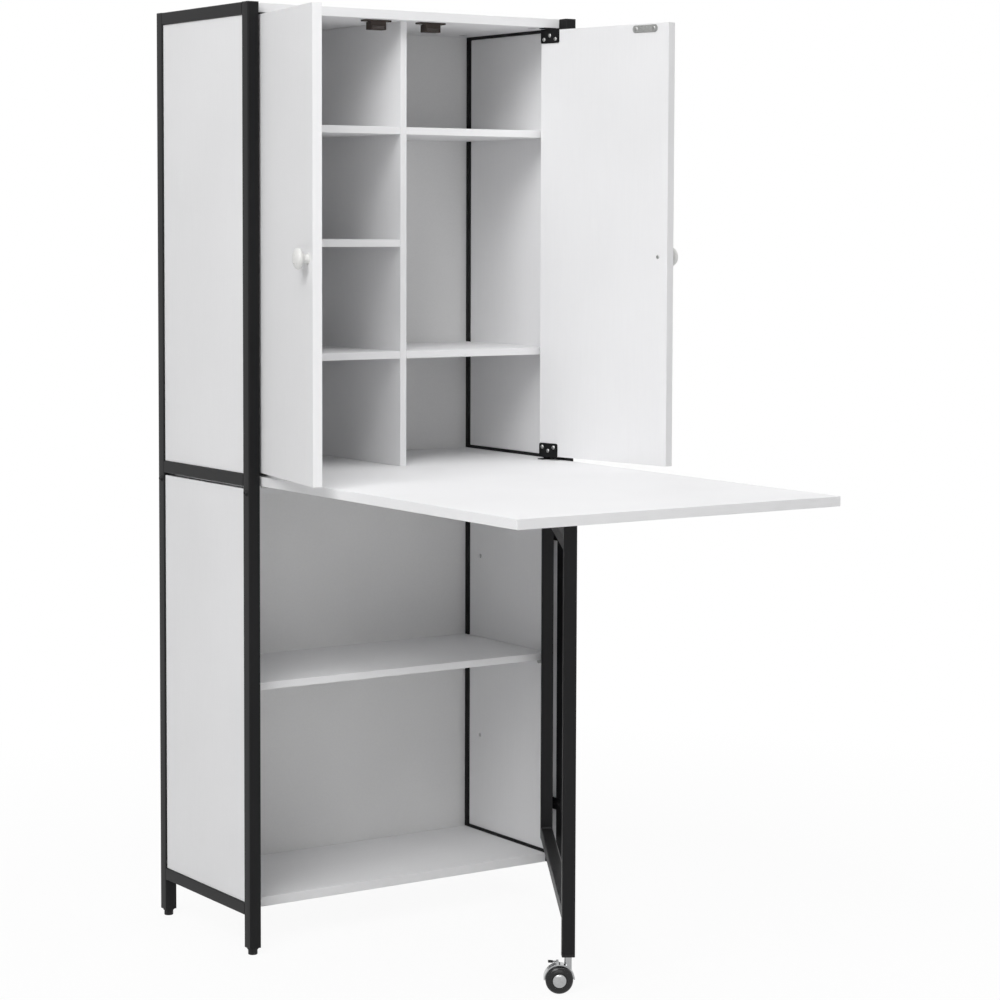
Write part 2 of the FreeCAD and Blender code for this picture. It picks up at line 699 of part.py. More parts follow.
# Gate hinges: a bracket with its pin on the front post, a knuckle on the gate
brackets = []
knuckles = []
gate_hinge_high = gate_low_z + gate_high_z - gate_hinge_low - gate_hinge_height
half_hinge = gate_hinge_height / 2
web_front = gate_axis_y - gate_web / 2
web_back = gate_axis_y + gate_web / 2
for z in (gate_hinge_low, gate_hinge_high):
    plate = block(inner_x - gate_plate, inner_x, gate_plate_front, gate_plate_back, z, z + gate_hinge_height)
    web = block(gate_axis_x, inner_x - gate_plate / 2, web_front, web_back, z, z + half_hinge - loose_fit)
    barrel = rod(gate_barrel_radius, half_hinge - loose_fit, (gate_axis_x, gate_axis_y, z), Z_AXIS)
    pin_hole = rod(gate_pin_radius + running_fit, gate_hinge_height, (gate_axis_x, gate_axis_y, z), Z_AXIS)
    brackets.append(plate.fuse(web).fuse(barrel).removeSplitter().cut(pin_hole))
    brackets.append(rod(gate_pin_radius, gate_hinge_height, (gate_axis_x, gate_axis_y, z), Z_AXIS))
    arm = block(gate_inner_x + tube / 2, gate_axis_x, web_front, web_back,
                z + half_hinge, z + gate_hinge_height)
    eye = rod(gate_barrel_radius, half_hinge, (gate_axis_x, gate_axis_y, z + half_hinge), Z_AXIS)
    knuckles.append(arm.fuse(eye).removeSplitter().cut(pin_hole))
save("gate_hinge_brackets", *brackets)
save_gate("gate_hinge_knuckles", *knuckles)

# Caster: the stem at the post, the wheel behind it
axle_y = gate_axis_y + caster_trail
axle_z = wheel_radius


def caster_rod(radius, x0, x1):
    return rod(radius, x1 - x0, (gate_outer_x + x0, axle_y, axle_z), X_AXIS)


fender_in = wheel_radius + fender_gap
fender_out = fender_in + fender_sheet
half_fender = fender_width / 2
half_web = yoke_web / 2
reach = 3 * wheel_radius
lower_half = block(gate_outer_x - reach, gate_outer_x + reach, axle_y - reach, axle_y + reach,
                   axle_z - reach, axle_z)
wheel_room = caster_rod(fender_in, -half_fender, half_fender)
fender = caster_rod(fender_out, -half_fender, half_fender).cut(wheel_room).cut(lower_half)
web = caster_rod(fender_in + fender_sheet / 2, -half_web, half_web).cut(lower_half)
web = web.fuse(caster_rod(wheel_radius - fender_gap, -half_web, half_web))
neck_top = gate_foot_z - loose_fit
neck = rod(neck_radius, neck_top - axle_z, (gate_outer_x, gate_axis_y, axle_z), Z_AXIS)
neck = neck.cut(wheel_room)
stem = rod(stem_radius, stem_top - neck_top, (gate_outer_x, gate_axis_y, neck_top), Z_AXIS)
yoke = fender.fuse(web).fuse(neck).fuse(stem)
lever_y = axle_y + lever_axis[0]
lever_z = axle_z + lever_axis[1]
lever_half = lever_width / 2
ear_low = axle_z + fender_in + fender_sheet / 3
for side in (-1, 1):
    near = gate_outer_x + side * (lever_half + loose_fit)
    far = near + side * lever_ear
    yoke = yoke.fuse(block(near, far, lever_y - lever_barrel_radius, lever_y + lever_barrel_radius,
                           ear_low, lever_z + lever_barrel_radius))
lever_span = lever_half + loose_fit + lever_ear
lever_start = (gate_outer_x - lever_span, lever_y, lever_z)
yoke = yoke.fuse(rod(lever_pin_radius, 2 * lever_span, lever_start, X_AXIS)).removeSplitter()
yoke = yoke.cut(caster_rod(axle_radius + running_fit, -half_web, half_web))
save_gate("caster_yoke", yoke)
wheel_in = half_web + wheel_gap
wheel_out = wheel_in + wheel_width
axle_end = wheel_out - fender_gap
save_gate("caster_axle", caster_rod(axle_radius, -axle_end, axle_end))
wheel_bore = axle_radius + running_fit
dome_fall = ROUND_MIDDLE * (wheel_radius - hub_radius)
dome_rise = ROUND_MIDDLE * (wheel_width - wheel_tread)
wheel_profile = [
    (wheel_radius, 0),
    (wheel_radius, wheel_tread),
    ((wheel_radius - dome_fall, wheel_width - dome_rise), (hub_radius, wheel_width)),
]
hub_profile = [(hub_radius, 0), ((hub_crown_radius, hub_crown_height), (hub_flat, hub_height))]
for name, side in (("near", -1), ("far", 1)):
    outward = FreeCAD.Vector(side, 0, 0)
    wheel = turned(wheel_profile, (gate_outer_x + side * wheel_in, axle_y, axle_z), outward)
    hub = turned(hub_profile, (gate_outer_x + side * wheel_out, axle_y, axle_z), outward)
    save_gate("caster_wheel_" + name, wheel.cut(caster_rod(wheel_bore, -wheel_out, wheel_out)))
    save_gate("hub_cap_" + name, hub)
lever_lean = math.degrees(math.atan2(lever_rise, lever_length))
strip = block(-lever_half, lever_half, 0, lever_length, -lever_sheet / 2, lever_sheet / 2)
tip = block(-lever_half, lever_half, lever_length - lever_tip, lever_length,
            -lever_tip_sheet / 2, lever_tip_sheet / 2)
eye = rod(lever_barrel_radius, lever_width, (-lever_half, 0, 0), X_AXIS)
lever = strip.fuse(tip).fuse(eye).removeSplitter()
lever = lever.cut(rod(lever_pin_radius + running_fit, lever_width, (-lever_half, 0, 0), X_AXIS))
lever.rotate(ZERO, X_AXIS, lever_lean)
lever.translate(FreeCAD.Vector(gate_outer_x, lever_y, lever_z))
save_gate("caster_brake_lever", lever)
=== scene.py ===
"""Looks of a sewing armoire: finishes, softened edges, screws, welds and studio, built around its frame."""
import json
import logging
import math
from collections.abc import Iterable, Sequence
from dataclasses import dataclass
from enum import Enum

import bmesh
import bpy
from mathutils import Matrix, Vector


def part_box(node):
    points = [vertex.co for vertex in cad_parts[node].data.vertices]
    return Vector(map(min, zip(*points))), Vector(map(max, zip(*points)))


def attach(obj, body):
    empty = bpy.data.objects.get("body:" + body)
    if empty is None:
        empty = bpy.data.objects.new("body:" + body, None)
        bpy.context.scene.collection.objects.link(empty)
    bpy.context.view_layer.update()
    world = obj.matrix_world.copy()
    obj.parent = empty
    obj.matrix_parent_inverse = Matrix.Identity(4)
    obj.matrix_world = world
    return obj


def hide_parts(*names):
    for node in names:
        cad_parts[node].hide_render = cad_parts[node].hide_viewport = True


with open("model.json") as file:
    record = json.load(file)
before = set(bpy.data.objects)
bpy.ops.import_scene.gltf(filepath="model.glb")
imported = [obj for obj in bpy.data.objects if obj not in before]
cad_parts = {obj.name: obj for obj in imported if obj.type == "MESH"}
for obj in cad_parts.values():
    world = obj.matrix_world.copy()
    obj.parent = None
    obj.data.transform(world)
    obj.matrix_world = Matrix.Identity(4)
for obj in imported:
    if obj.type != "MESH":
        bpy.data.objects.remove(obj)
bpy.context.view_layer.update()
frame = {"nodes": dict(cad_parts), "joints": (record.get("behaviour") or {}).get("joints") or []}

LOG = logging.getLogger("armoire")
MM = 0.001
MERGE_DISTANCE = 0.002 * MM
FLAT_ANGLE = math.radians(0.5)
SHARP_ANGLE = math.radians(38.0)
DOWN = Vector((0, 0, -1))
UP = Vector((0, 0, 1))
BACKWARD = Vector((0, 1, 0))
WHITE = (1, 1, 1, 1)
EDGE_SEGMENTS = 2
HEAD_SIDES = 20
# Weight of the fine noise beside the broad one, and the spans of noise that tone and gloss run over
FINE_WEIGHT = 0.6
TONE_SPAN = (0.5, 1.1)
GLOSS_SPAN = (0.3, 0.7)

Point = tuple[float, float]


class Side(Enum):
    """The side of the cabinet that a piece belongs to, as the sign of X."""

    LEFT = -1
    RIGHT = 1


class Grain(Enum):
    """The axis that a board's pores run along."""

    ACROSS = 0
    UPRIGHT = 2


class Drive(Enum):
    """The recess in a screw head."""

    CROSS = "cross"
    HEX = "hex"


def joint_named(name: str) -> dict:
    """Finds a joint of the frame.

    Args:
        name: The joint's name.

    Returns:
        Its entry, with its place and its axis.
    """
    return next(joint for joint in frame["joints"] if joint["name"] == name)


def linear(code: str) -> tuple[float, float, float, float]:
    """Turns an sRGB hex code to linear colour.

    Args:
        code: A colour such as "#e6e6e7".

    Returns:
        Red, green, blue and a full alpha.
    """
    channels = [int(code[n:n + 2], 16) / 255 for n in (1, 3, 5)]
    red, green, blue = [c / 12.92 if c <= 0.04045 else ((c + 0.055) / 1.055) ** 2.4 for c in channels]
    return (red, green, blue, 1.0)


def add_node(tree: bpy.types.NodeTree, kind: str, settings: dict | None = None,
             inputs: dict | None = None) -> bpy.types.Node:
    """Adds one node with its settings and links.

    Args:
        tree: The material, world or geometry tree.
        kind: The node's type name.
        settings: Properties of the node.
        inputs: Values of its input sockets, by name or number. A socket given as a value is linked.

    Returns:
        The new node.
    """
    node = tree.nodes.new(kind)
    for name, value in (settings or {}).items():
        setattr(node, name, value)
    for key, value in (inputs or {}).items():
        if isinstance(value, bpy.types.NodeSocket):
            tree.links.new(value, node.inputs[key])
        else:
            node.inputs[key].default_value = value
    return node


@dataclass(frozen=True)
class Finish:
    """A surface finish with a fine pattern that varies its colour, its gloss and its relief.

    Sizes are the real ones in millimetres, and cell gives the pattern's size along X, Y and Z.
    """

    name: str
    slot: str
    colour: str
    shade: str
    roughness: float
    roughness_spread: float
    cell: tuple[float, float, float]
    relief: float
    metallic: float = 0.0
    coat: float = 0.0
    specular: float = 0.5
    cloud: float = 180.0

    def material(self) -> bpy.types.Material:
        """Returns the finish's material, which is made on first use."""
        found = bpy.data.materials.get(self.name)
        if found is not None:
            return found
        material = bpy.data.materials.new(self.name)
        material.use_nodes = True
        tree = material.node_tree
        tree.nodes.clear()
        place = add_node(tree, "ShaderNodeTexCoord")
        cells = tuple(1 / (size * MM) for size in self.cell)
        mapped = add_node(tree, "ShaderNodeMapping", {}, {"Vector": place.outputs["Object"], "Scale": cells})
        fine = add_node(tree, "ShaderNodeTexNoise", {},
                        {"Vector": mapped.outputs["Vector"], "Scale": 1.0, "Detail": 2.0})
        broad = add_node(tree, "ShaderNodeTexNoise", {},
                         {"Vector": place.outputs["Object"], "Scale": 1 / (self.cloud * MM), "Detail": 1.0})
        both = add_node(tree, "ShaderNodeMath", {"operation": "MULTIPLY_ADD"},
                        {0: fine.outputs["Fac"], 1: FINE_WEIGHT, 2: broad.outputs["Fac"]})
        tone = add_node(tree, "ShaderNodeMapRange", {},
                        {"Value": both.outputs[0], "From Min": TONE_SPAN[0], "From Max": TONE_SPAN[1]})
        colour = add_node(tree, "ShaderNodeMix", {"data_type": "RGBA"},
                          {"Factor": tone.outputs[0], 6: linear(self.shade), 7: linear(self.colour)})
        gloss = add_node(tree, "ShaderNodeMapRange", {},
                         {"Value": fine.outputs["Fac"], "From Min": GLOSS_SPAN[0], "From Max": GLOSS_SPAN[1],
                          "To Min": self.roughness - self.roughness_spread,
                          "To Max": self.roughness + self.roughness_spread})
        bump = add_node(tree, "ShaderNodeBump", {},
                        {"Height": fine.outputs["Fac"], "Strength": 1.0, "Distance": self.relief * MM})
        shader = add_node(tree, "ShaderNodeBsdfPrincipled", {},
                          {"Base Color": colour.outputs[2], "Roughness": gloss.outputs[0],
                           "Metallic": self.metallic, "Specular IOR Level": self.specular,
                           "Coat Weight": self.coat, "Normal": bump.outputs["Normal"]})
        add_node(tree, "ShaderNodeOutputMaterial", {}, {"Surface": shader.outputs[0]})
        return material


def laminate(grain: Grain) -> Finish:
    """White melamine-faced board, pressed with a faint pore.

    It shows as an even white with hardly any sheen. The pores are really about 0.3 mm wide and are drawn
    coarser, so that they show.

    Args:
        grain: The axis that the pores run along.

    Returns:
        The finish.
    """
    pore_width, pore_length = 3.0, 70.0
    cell = [pore_width] * 3
    cell[grain.value] = pore_length
    return Finish("white_melamine_" + grain.name.lower(), "white_board", "#f2f2f3", "#eeeeef", 0.6, 0.06,
                  tuple(cell), 0.015, specular=0.05)


# Steel tube under a satin powder coat: a soft black with an orange peel, drawn coarser than its real 0.5 mm
POWDER_COAT = Finish("black_powder_coat", "black_steel", "#1b1b1c", "#161617", 0.42, 0.06,
                     (1.6, 1.6, 1.6), 0.03, specular=0.16)
# Weld metal under the same coat, painted a lighter grey than the tube with lighter mottles: a painted sheen
# standing in for the light that the ripples catch
WELD_COAT_PAINTED_SHEEN = Finish("black_coated_weld", "black_steel", "#3a3a3b", "#1d1d1e", 0.28, 0.08,
                   (1.0, 1.0, 1.0), 0.15, cloud=6.0)
# Polypropylene, moulded with a fine spark grain: a dull black that scatters its highlights
CAP_PLASTIC = Finish("black_moulded_plastic", "black_plastic", "#1a1a1b", "#151516", 0.5, 0.05,
                     (1.2, 1.2, 1.2), 0.04, specular=0.25)
# Zinc plating on pressed steel: grey and slightly mottled, with blurred reflections
ZINC = Finish("zinc_plated_steel", "zinc_steel", "#b9bab8", "#a3a4a3", 0.32, 0.08, (2.0, 2.0, 2.0), 0.01,
              metallic=1.0, cloud=25.0)
# Chromium plating, polished: sharp reflections with a faint haze
CHROME = Finish("polished_chrome", "chrome", "#b8b9b9", "#a0a1a2", 0.12, 0.03, (6.0, 6.0, 6.0), 0.003,
                metallic=1.0, cloud=30.0)
# Lacquered turned wood: a glossy white with small clear highlights
KNOB_LACQUER = Finish("white_gloss_lacquer", "white_gloss", "#e0e0de", "#d8d8d6", 0.3, 0.05,
                      (5.0, 5.0, 5.0), 0.01, coat=0.1, cloud=25.0)
# Nylon, moulded in dark brown: a low even sheen
CATCH_NYLON = Finish("dark_brown_nylon", "brown_plastic", "#3a2f2a", "#302722", 0.42, 0.06,
                     (1.5, 1.5, 1.5), 0.03, specular=0.3)
# Ferrite magnet between steel pole plates: a dark grey with dull reflections
MAGNET = Finish("dark_magnet_steel", "zinc_steel", "#5b5654", "#4a4644", 0.45, 0.08, (2.0, 2.0, 2.0), 0.01,
                metallic=1.0, cloud=20.0)
# Polyurethane tread on a moulded wheel: a smooth black with bright highlights
WHEEL_PLASTIC = Finish("black_wheel_plastic", "wheel_black", "#141415", "#101011", 0.17, 0.04,
                       (2.5, 2.5, 2.5), 0.02, specular=0.4)
# Hardboard with a white printed face: flatter than the thicker boards
BACK_FACE = Finish("white_faced_hardboard", "white_back", "#f1f1f1", "#ebebeb", 0.6, 0.05,
                   (4.0, 4.0, 4.0), 0.04)
# Beech dowel: pale brown with fibres along its length
BEECH = Finish("beech", "beech", "#c9a279", "#b98d62", 0.55, 0.08, (20.0, 1.0, 1.0), 0.05)


def cad_mesh(nodes: Iterable[str]) -> bmesh.types.BMesh:
    """Copies the shapes of CAD nodes as clean flat faces.

    Args:
        nodes: Names of the nodes.

    Returns:
        One mesh with merged points and no cuts across flat faces.
    """
    mesh = bmesh.new()
    for node in nodes:
        source = frame["nodes"][node].data
        points = [mesh.verts.new(v.co) for v in source.vertices]
        for polygon in source.polygons:
            mesh.faces.new([points[n] for n in polygon.vertices])
    bmesh.ops.remove_doubles(mesh, verts=mesh.verts, dist=MERGE_DISTANCE)
    bmesh.ops.dissolve_limit(mesh, angle_limit=FLAT_ANGLE, verts=mesh.verts, edges=mesh.edges)
    return mesh


def plain_mesh(obj: bpy.types.Object) -> None:
    """Turns an object's modifiers into its plain mesh.

    Args:
        obj: The object, whose modifiers are removed.
    """
    bpy.context.view_layer.update()
    evaluated = obj.evaluated_get(bpy.context.evaluated_depsgraph_get())
    mesh = bpy.data.meshes.new_from_object(evaluated)
    obj.modifiers.clear()
    obj.data = mesh


def make_piece(name: str, mesh: bmesh.types.BMesh, finish: Finish, body: str, nodes: Sequence[str] = (),
               edge: float = 0.0) -> bpy.types.Object:
    """Makes a finished piece of a mesh and lets it ride on its body.

    Args:
        name: The piece's name.
        mesh: Its shape, in place. It is freed.
        finish: Its finish.
        body: The body that carries it.
        nodes: CAD nodes that it stands for.
        edge: The width of its softened edges in millimetres, or 0 for none.

    Returns:
        The new object.
    """
    data = bpy.data.meshes.new(name)
    mesh.normal_update()
    mesh.to_mesh(data)
    mesh.free()
    data.polygons.foreach_set("use_smooth", [True] * len(data.polygons))
    data.set_sharp_from_angle(angle=SHARP_ANGLE)
    data.materials.append(finish.material())
    obj = bpy.data.objects.new(name, data)
    bpy.context.scene.collection.objects.link(obj)
    if edge:
        bevel = obj.modifiers.new("soft_edges", "BEVEL")
        bevel.width = edge * MM
        bevel.segments = EDGE_SEGMENTS
        bevel.limit_method = "ANGLE"
        bevel.angle_limit = SHARP_ANGLE
        bevel.harden_normals = True
        plain_mesh(obj)
    return settle(obj, body, nodes)


def settle(obj: bpy.types.Object, body: str, nodes: Sequence[str] = ()) -> bpy.types.Object:
    """Gives a finished piece its body and the nodes that it stands for.

    Args:
        obj: The piece.
        body: The body that carries it.
        nodes: CAD nodes that it stands for.

    Returns:
        The same piece.
    """
    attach(obj, body)
    if nodes:
        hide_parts(*nodes)
    LOG.info("%s: %d faces on %s", obj.name, len(obj.data.polygons), body)
    return obj


def soft_copies(nodes: Iterable[str], finish: Finish, body: str, edge: float) -> None:
    """Replaces each CAD node by a copy with softened edges.

    Args:
        nodes: Names of the nodes.
        finish: Their finish.
        body: The body that carries them.
        edge: The width of the softened edges in millimetres.
    """
    for node in nodes:
        make_piece(node + "_dressed", cad_mesh([node]), finish, body, [node], edge)


def quarter(centre: Point, radius: Point, start: float, end: float, steps: int) -> list[Point]:
    """Points along an arc of an ellipse in a profile.

    Args:
        centre: Radius and height of the middle.
        radius: Half widths along the two.
        start: First angle in degrees, from the radius axis.
        end: Last angle in degrees.
        steps: Number of steps.

    Returns:
        Points of the profile.
    """
    angles = [math.radians(start + (end - start) * n / steps) for n in range(steps + 1)]
    return [(centre[0] + radius[0] * math.cos(a), centre[1] + radius[1] * math.sin(a)) for a in angles]


def add_turning(mesh: bmesh.types.BMesh, profile: Sequence[Point], base: Vector, axis: Vector,
                sides: int = 48) -> None:
    """Adds a closed turned shape to a mesh.

    Args:
        mesh: The mesh that takes it.
        profile: Radius and height in millimetres, from the middle of the base to the middle of the top.
        base: Where the profile's height is 0.
        axis: The direction of height.
        sides: Number of sides.
    """
    turn = Matrix.Translation(base) @ UP.rotation_difference(axis).to_matrix().to_4x4()
    rings = []
    for radius, height in profile:
        if radius <= 0:
            rings.append([mesh.verts.new(turn @ Vector((0, 0, height * MM)))])
            continue
        angles = [2 * math.pi * n / sides for n in range(sides)]
        spots = [Vector((radius * math.cos(a), radius * math.sin(a), height)) * MM for a in angles]
        rings.append([mesh.verts.new(turn @ spot) for spot in spots])
    for low, high in zip(rings, rings[1:]):
        for n in range(sides):
            m = (n + 1) % sides
            corners = [low[n % len(low)], low[m % len(low)], high[m % len(high)], high[n % len(high)]]
            mesh.faces.new(list(dict.fromkeys(corners)))


def new_tree(name: str, sizes: Sequence[str]) -> tuple[bpy.types.NodeTree, bpy.types.NodeOutputs]:
    """Starts a geometry tree that takes a mesh, sizes and a material.

    Args:
        name: The tree's name.
        sizes: Names of the sizes.

    Returns:
        The tree, and the sockets of what it is given.
    """
    tree = bpy.data.node_groups.new(name, "GeometryNodeTree")
    tree.interface.new_socket(name="Geometry", in_out="INPUT", socket_type="NodeSocketGeometry")
    for size in sizes:
        tree.interface.new_socket(name=size, in_out="INPUT", socket_type="NodeSocketFloat")
    tree.interface.new_socket(name="Material", in_out="INPUT", socket_type="NodeSocketMaterial")
    tree.interface.new_socket(name="Geometry", in_out="OUTPUT", socket_type="NodeSocketGeometry")
    return tree, add_node(tree, "NodeGroupInput").outputs


def end_tree(tree: bpy.types.NodeTree, shape: bpy.types.NodeSocket, material: bpy.types.NodeSocket) -> None:
    """Gives a tree's shape its material and sends it out.

    Args:
        tree: The geometry tree.
        shape: The finished shape.
        material: The material that the tree is given.
    """
    coated = add_node(tree, "GeometryNodeSetMaterial", {}, {"Geometry": shape, "Material": material})
    add_node(tree, "NodeGroupOutput", {}, {"Geometry": coated.outputs["Geometry"]})


def screw_tree(drive: Drive) -> bpy.types.NodeTree:
    """Builds the geometry tree that sets a screw head on each point, facing the point's own way.

    Args:
        drive: The recess in the heads.

    Returns:
        The tree, made on first use.
    """
    name = "screw_heads_" + drive.value
    found = bpy.data.node_groups.get(name)
    if found is not None:
        return found
    tree, given = new_tree(name, ("Head Radius", "Crown Radius", "Head Height", "Drive Length", "Drive Width",
                                  "Drive Depth"))
    rim = add_node(tree, "GeometryNodeMeshCone", {"fill_type": "NGON"},
                   {"Vertices": HEAD_SIDES, "Radius Top": given["Crown Radius"],
                    "Radius Bottom": given["Head Radius"], "Depth": given["Head Height"]})
    tall = add_node(tree, "ShaderNodeMath", {"operation": "MULTIPLY"}, {0: given["Drive Depth"], 1: 2.0})
    lift = add_node(tree, "ShaderNodeCombineXYZ", {}, {"Z": given["Head Height"]})
    if drive is Drive.CROSS:
        along = add_node(tree, "ShaderNodeCombineXYZ", {},
                         {"X": given["Drive Length"], "Y": given["Drive Width"], "Z": tall.outputs[0]})
        over = add_node(tree, "ShaderNodeCombineXYZ", {},
                        {"X": given["Drive Width"], "Y": given["Drive Length"], "Z": tall.outputs[0]})
        first = add_node(tree, "GeometryNodeMeshCube", {}, {"Size": along.outputs[0]})
        second = add_node(tree, "GeometryNodeMeshCube", {}, {"Size": over.outputs[0]})
        tool = add_node(tree, "GeometryNodeMeshBoolean", {"operation": "UNION"},
                        {"Mesh 2": first.outputs["Mesh"]})
        tree.links.new(second.outputs["Mesh"], tool.inputs["Mesh 2"])
    else:
        tool = add_node(tree, "GeometryNodeMeshCylinder", {},
                        {"Vertices": 6, "Radius": given["Drive Width"], "Depth": tall.outputs[0]})
    cutter = add_node(tree, "GeometryNodeTransform", {},
                      {"Geometry": tool.outputs["Mesh"], "Translation": lift.outputs[0]})
    head = add_node(tree, "GeometryNodeMeshBoolean", {"operation": "DIFFERENCE"},
                    {"Mesh 1": rim.outputs["Mesh"], "Mesh 2": cutter.outputs["Geometry"]})
    facing = add_node(tree, "GeometryNodeInputNamedAttribute", {"data_type": "FLOAT_VECTOR"},
                      {"Name": "facing"})
    turned = add_node(tree, "FunctionNodeAlignRotationToVector", {"axis": "Z"},
                      {"Vector": facing.outputs["Attribute"]})
    copies = add_node(tree, "GeometryNodeInstanceOnPoints", {},
                      {"Points": given["Geometry"], "Instance": head.outputs["Mesh"],
                       "Rotation": turned.outputs["Rotation"]})
    real = add_node(tree, "GeometryNodeRealizeInstances", {}, {"Geometry": copies.outputs["Instances"]})
    end_tree(tree, real.outputs["Geometry"], given["Material"])
    return tree


def weld_tree() -> bpy.types.NodeTree:
    """Builds the geometry tree that lays a row of overlapping beads along each edge, and returns it."""
    name = "weld_beads"
    found = bpy.data.node_groups.get(name)
    if found is not None:
        return found
    tree, given = new_tree(name, ("Bead Radius", "Bead Pitch"))
    lines = add_node(tree, "GeometryNodeMeshToCurve", {}, {"Mesh": given["Geometry"]})
    spots = add_node(tree, "GeometryNodeCurveToPoints", {"mode": "LENGTH"},
                     {"Curve": lines.outputs["Curve"], "Length": given["Bead Pitch"]})
    bead = add_node(tree, "GeometryNodeMeshIcoSphere", {},
                    {"Radius": given["Bead Radius"], "Subdivisions": 2})
    copies = add_node(tree, "GeometryNodeInstanceOnPoints", {},
                      {"Points": spots.outputs["Points"], "Instance": bead.outputs["Mesh"]})
    real = add_node(tree, "GeometryNodeRealizeInstances", {}, {"Geometry": copies.outputs["Instances"]})
    smooth = add_node(tree, "GeometryNodeSetShadeSmooth", {}, {"Geometry": real.outputs["Geometry"]})
    end_tree(tree, smooth.outputs["Geometry"], given["Material"])
    return tree


def grow(name: str, data: bpy.types.Mesh, tree: bpy.types.NodeTree, values: dict, finish: Finish,
         body: str, nodes: Sequence[str] = ()) -> bpy.types.Object:
    """Runs a geometry tree on a mesh and keeps the result as a plain piece.

    Args:
        name: The piece's name.
        data: The points or edges that the tree starts from.
        tree: The geometry tree.
        values: Its inputs by name. Numbers are in metres.
        finish: The piece's finish, which goes in as the Material input.
        body: The body that carries the piece.
        nodes: CAD nodes that it stands for.

    Returns:
        The new object.
    """
    obj = bpy.data.objects.new(name, data)
    modifier = obj.modifiers.new("grow", "NODES")
    modifier.node_group = tree
    inputs = dict(values, Material=finish.material())
    for socket in tree.interface.items_tree:
        if socket.in_out == "INPUT" and socket.name in inputs:
            modifier[socket.identifier] = inputs[socket.name]
    bpy.context.scene.collection.objects.link(obj)
    plain_mesh(obj)
    return settle(obj, body, nodes)


@dataclass(frozen=True)
class ScrewKind:
    """One kind of screw head, in millimetres."""

    head: float
    crown: float
    height: float
    drive: Drive
    drive_length: float
    drive_width: float
    drive_depth: float
    finish: Finish

    def set_on(self, name: str, spots: Sequence[tuple[Vector, Vector]], body: str,
               nodes: Sequence[str] = ()) -> bpy.types.Object:
        """Sets one head on each spot, as one piece.

        Args:
            name: The piece's name.
            spots: Where each head sits and which way it faces.
            body: The body that carries them.
            nodes: CAD nodes that they stand for.

        Returns:
            The new object.
        """
        data = bpy.data.meshes.new(name)
        data.from_pydata([tuple(spot) for spot, _ in spots], [], [])
        facing = data.attributes.new("facing", "FLOAT_VECTOR", "POINT")
        facing.data.foreach_set("vector", [part for _, way in spots for part in way])
        sizes = {"Head Radius": self.head, "Crown Radius": self.crown, "Head Height": self.height,
                 "Drive Length": self.drive_length, "Drive Width": self.drive_width,
                 "Drive Depth": self.drive_depth}
        values = {key: size * MM for key, size in sizes.items()}
        return grow(name, data, screw_tree(self.drive), values, self.finish, body, nodes)


PAN_SCREW = ScrewKind(3.4, 2.2, 1.4, Drive.CROSS, 3.4, 0.9, 0.9, ZINC)
BLACK_SCREW = ScrewKind(3.4, 2.2, 1.3, Drive.CROSS, 3.4, 0.9, 0.9, POWDER_COAT)
FLAT_SCREW = ScrewKind(3.2, 3.0, 0.4, Drive.CROSS, 3.2, 0.9, 0.35, POWDER_COAT)
BUTTON_BOLT = ScrewKind(5.5, 3.4, 3.0, Drive.HEX, 4.0, 2.0, 1.8, POWDER_COAT)


@dataclass(frozen=True)
class WeldKind:
    """A weld bead under the coat, in millimetres."""

    radius: float = 1.5
    pitch: float = 1.4

    def lay(self, name: str, seams: Sequence[tuple[Vector, Vector]], body: str) -> bpy.types.Object:
        """Lays beads along straight seams, as one piece.

        Args:
            name: The piece's name.
            seams: The two ends of each seam.
            body: The body that carries them.

        Returns:
            The new object.
        """
        data = bpy.data.meshes.new(name)
        ends = [tuple(end) for seam in seams for end in seam]
        data.from_pydata(ends, [(2 * n, 2 * n + 1) for n in range(len(seams))], [])
        values = {"Bead Radius": self.radius * MM, "Bead Pitch": self.pitch * MM}
        # The beads take the weld finish, whose lighter grey is a painted sheen
        return grow(name, data, weld_tree(), values, WELD_COAT_PAINTED_SHEEN, body)


